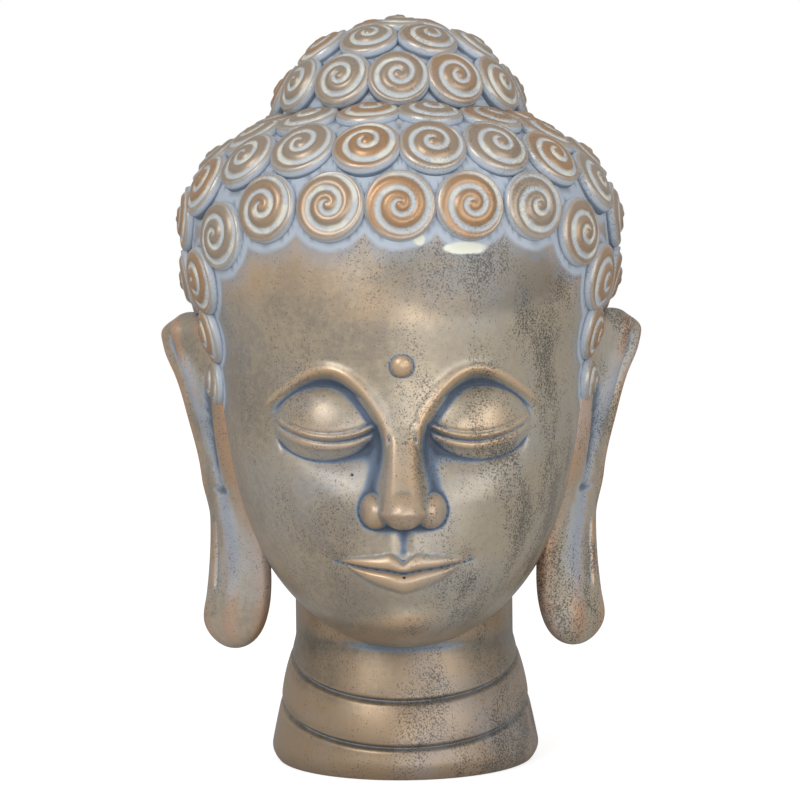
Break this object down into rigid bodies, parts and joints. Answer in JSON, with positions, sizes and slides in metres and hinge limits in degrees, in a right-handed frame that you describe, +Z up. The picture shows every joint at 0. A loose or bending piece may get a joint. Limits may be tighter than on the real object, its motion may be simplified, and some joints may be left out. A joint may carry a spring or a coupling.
{
  "type": "buddha head sculpture",
  "caption": "Buddha head ornament on a flared neck, with a topknot, snail-shell curls, long ears and a calm closed-eyed face.",
  "frame": {"origin": "middle of the flat underside of the neck", "axes": "+Z up, from the underside to the topknot; the face looks along -Y"},
  "size_m": [0.1932, 0.2017, 0.2987],
  "materials": {
    "washed_bronze": "cast resin, bronzed, with a pale blue-grey wash in its hollows"
  },
  "bodies": {
    "root": {"buddha_head": "washed_bronze"}
  },
  "joints": []
}
